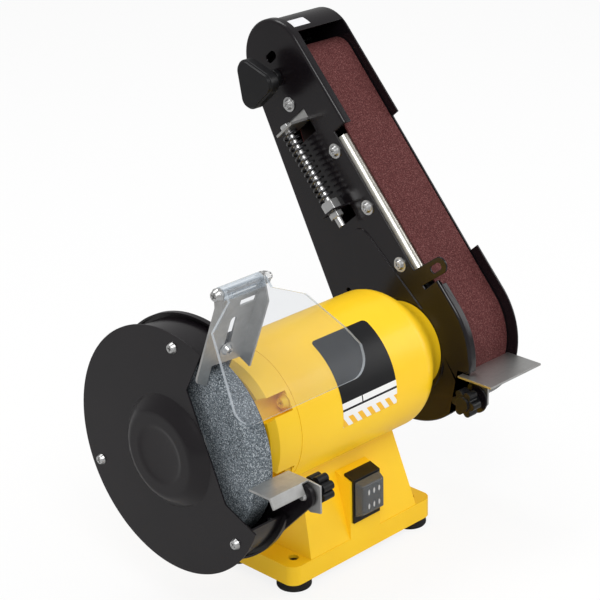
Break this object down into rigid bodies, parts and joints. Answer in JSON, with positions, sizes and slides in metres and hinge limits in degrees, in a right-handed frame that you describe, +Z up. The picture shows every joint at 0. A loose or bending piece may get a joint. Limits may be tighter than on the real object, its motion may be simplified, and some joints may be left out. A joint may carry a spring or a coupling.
{
  "type": "bench grinder and belt sander",
  "caption": "Two-ended bench grinder on a cast base: a guarded abrasive wheel with tool rest, spark deflector and eye shield on one end, a sanding belt on a swinging arm on the other.",
  "frame": {"origin": "centre of the four mounting holes, on the bench under the rubber feet", "axes": "+X along the motor shaft from the grinding wheel to the sanding belt, -Y towards the operator, +Z up"},
  "size_m": [0.3363, 0.2884, 0.3731],
  "materials": {
    "yellow_paint": "semi-gloss enamel",
    "black_paint": "glossy black enamel",
    "zinc": "zinc plated",
    "platen_steel": "ground bright",
    "steel": "machined",
    "copper": "enamelled copper wire",
    "black_plastic": "moulded, satin",
    "clear_boot": "clouded translucent dust cover",
    "clear_plastic": "clear polycarbonate",
    "abrasive_wheel": "gritty vitrified abrasive, stands in under cast_iron",
    "abrasive_belt": "gritty abrasive on cloth",
    "aluminium": "turned",
    "black_rubber": "matte"
  },
  "bodies": {
    "base": {"base_casting": "yellow_paint", "bottom_cover": "zinc", "bottom_cover_screws": "zinc", "rubber_feet": "black_rubber", "capacitor": "aluminium", "switch_frame": "black_plastic", "switch_boot": "clear_boot", "motor_housing": "yellow_paint", "left_end_cap": "yellow_paint", "right_end_cap": "yellow_paint", "end_cap_screws": "zinc", "motor_mount_screws": "zinc", "stator_core": "steel", "stator_windings": "copper", "ball_bearings": "steel", "wheel_guard": "black_paint", "guard_cover": "black_paint", "cover_screws": "zinc", "guard_mount_screws": "zinc", "rest_support": "black_paint", "rest_bolt": "zinc", "deflector_screw": "zinc", "arm_collar": "steel"},
    "rotor": {"motor_shaft": "steel", "rotor_core": "steel", "inner_flange": "zinc", "grinding_wheel": "abrasive_wheel", "outer_flange": "zinc", "wheel_nut": "zinc", "drive_wheel": "aluminium", "drive_wheel_nut": "zinc"},
    "belt_arm": {"arm_plate": "black_paint", "outer_guard": "black_paint", "top_hood": "black_paint", "hood_screws": "zinc", "platen": "platen_steel", "platen_bolts": "zinc", "sanding_belt": "abrasive_belt", "tension_bolt": "zinc", "tension_nuts": "zinc", "tension_spring": "steel", "guide_screw": "zinc", "belt_rest_bolt": "zinc"},
    "carriage": {"idler_carriage": "zinc", "idler_axle": "steel"},
    "idler": {"idler_roller": "aluminium", "idler_bearings": "steel"},
    "tracker": {"tracking_knob": "black_plastic"},
    "sanding_rest": {"belt_rest": "zinc"},
    "sanding_rest_knob": {"belt_rest_knob": "black_plastic"},
    "grinding_rest": {"grinder_rest": "zinc"},
    "grinding_rest_knob": {"rest_knob": "black_plastic"},
    "deflector": {"spark_deflector": "zinc", "shield_rod": "zinc"},
    "shield": {"eye_shield": "clear_plastic"},
    "rocker": {"switch_rocker": "black_plastic"}
  },
  "joints": [
    {"name": "rotor_spin", "type": "hinge", "parent": "base", "child": "rotor", "pos_m": [0, 0, 0.1356], "axis": [1, 0, 0], "continuous": true},
    {"name": "arm_swing", "type": "hinge", "parent": "base", "child": "belt_arm", "pos_m": [0, 0, 0.1356], "axis": [1, 0, 0], "range_deg": [-48.6, 41.4]},
    {"name": "belt_tension", "type": "slide", "parent": "belt_arm", "child": "carriage", "axis": [0, 0.6613, 0.7501], "range_m": [-0.009, 0], "stiffness_N_per_m": 6000, "springref_m": 0.006, "deforming": ["tension_spring"]},
    {"name": "idler_spin", "type": "hinge", "parent": "carriage", "child": "idler", "pos_m": [0, 0.1253, 0.33322], "axis": [1, 0, 0], "continuous": true},
    {"name": "tracking_turn", "type": "hinge", "parent": "belt_arm", "child": "tracker", "pos_m": [0, 0.13853, 0.32676], "axis": [1, 0, 0], "range_deg": [-180, 180]},
    {"name": "sanding_rest_slide", "type": "slide", "parent": "belt_arm", "child": "sanding_rest", "axis": [0, -1, 0], "range_m": [-0.004, 0.008]},
    {"name": "sanding_rest_clamp", "type": "hinge", "parent": "belt_arm", "child": "sanding_rest_knob", "pos_m": [0, -0.07, 0.1101], "axis": [1, 0, 0], "range_deg": [-180, 180]},
    {"name": "grinding_rest_slide", "type": "slide", "parent": "base", "child": "grinding_rest", "axis": [0, -1, 0], "range_m": [-0.004, 0.003]},
    {"name": "grinding_rest_clamp", "type": "hinge", "parent": "base", "child": "grinding_rest_knob", "pos_m": [0, -0.1005, 0.1226], "axis": [1, 0, 0], "range_deg": [-180, 180]},
    {"name": "deflector_slide", "type": "slide", "parent": "base", "child": "deflector", "axis": [0, 0.3584, -0.9336], "range_m": [0, 0.006]},
    {"name": "shield_tilt", "type": "hinge", "parent": "deflector", "child": "shield", "pos_m": [0, -0.06249, 0.27198], "axis": [1, 0, 0], "range_deg": [-100, 0]},
    {"name": "switch_rock", "type": "hinge", "parent": "base", "child": "rocker", "pos_m": [0.0002, -0.044, 0.0545], "axis": [1, 0, 0], "range_deg": [-16, 0]}
  ],
  "couplings": [
    {"joint": "idler_spin", "follows": "rotor_spin", "ratio": 3.3831}
  ]
}
